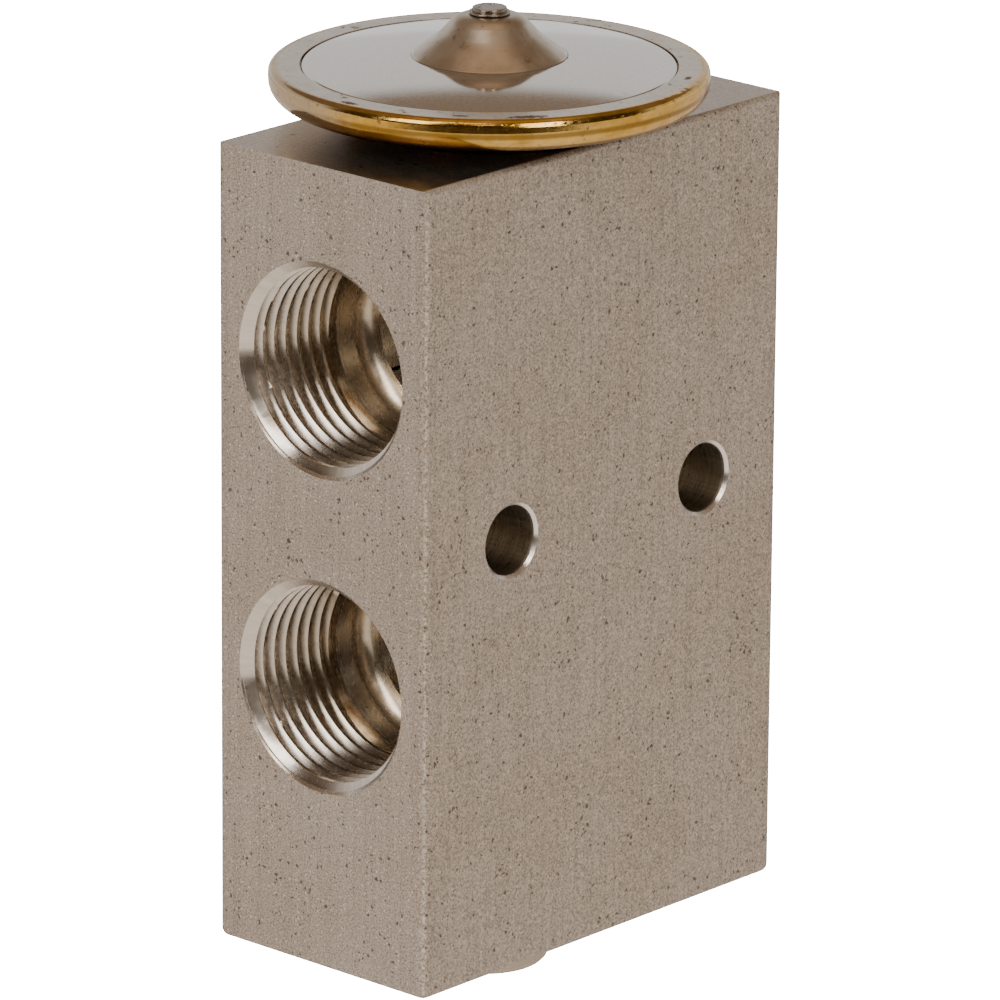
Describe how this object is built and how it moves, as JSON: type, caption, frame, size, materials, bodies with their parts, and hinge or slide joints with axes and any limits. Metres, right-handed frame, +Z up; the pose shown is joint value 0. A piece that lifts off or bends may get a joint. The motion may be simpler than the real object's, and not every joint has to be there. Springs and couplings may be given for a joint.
{
  "type": "block expansion valve",
  "caption": "Block-type refrigerant expansion valve with threaded ports, cross-drilled mounting holes and a domed power head on top.",
  "frame": {"origin": "centre of the bounding box at the foot of the adjuster plug", "axes": "+Z up along the rod towards the power head, -Y out of the face with the suction and outlet ports, +X out of a broad face that the mounting holes pass through"},
  "size_m": [0.0404, 0.0488, 0.0918],
  "materials": {
    "block_aluminium": "matte, faintly blasted, machined bright inside the ports",
    "plated_steel": "golden passivated zinc plate, a little worn and stained",
    "cap_steel": "polished drawn stainless steel",
    "plain_steel": "ground",
    "spring_steel": "drawn wire",
    "adjuster_metal": "turned, satin",
    "seal_rubber": "smooth moulded rubber"
  },
  "bodies": {
    "block": {"valve_body": "block_aluminium", "head_housing": "plated_steel", "head_neck": "plain_steel", "head_seal_ring": "seal_rubber", "head_cap": "cap_steel", "charge_plug": "plain_steel", "diaphragm": "cap_steel", "rod_seal_ring": "seal_rubber", "rod_seal_washer": "plain_steel", "rod_seal_retainer": "spring_steel", "seat_ring": "plain_steel"},
    "stem": {"stop_plate": "plain_steel", "sensing_sleeve": "adjuster_metal", "push_rod": "plain_steel", "valve_ball": "plain_steel", "ball_carrier": "plain_steel", "damping_ring": "spring_steel", "superheat_spring": "spring_steel"},
    "adjuster_slide": {"adjuster_seal_ring": "seal_rubber"},
    "adjuster": {"adjuster_plug": "adjuster_metal"}
  },
  "joints": [
    {"name": "stem_lift", "type": "slide", "parent": "block", "child": "stem", "axis": [0, 0, -1], "range_m": [0, 0.0008], "stiffness_N_per_m": 1500, "springref_m": -0.002, "deforming": ["superheat_spring"]},
    {"name": "adjuster_advance", "type": "slide", "parent": "block", "child": "adjuster_slide", "axis": [0, 0, 1], "range_m": [-0.0005, 0.002]},
    {"name": "adjuster_turn", "type": "hinge", "parent": "adjuster_slide", "child": "adjuster", "pos_m": [0, -0.00195, 0], "axis": [0, 0, 1], "range_deg": [-181, 721]}
  ],
  "couplings": [
    {"joint": "adjuster_turn", "follows": "adjuster_advance", "rad_per_m": 6283.2}
  ]
}
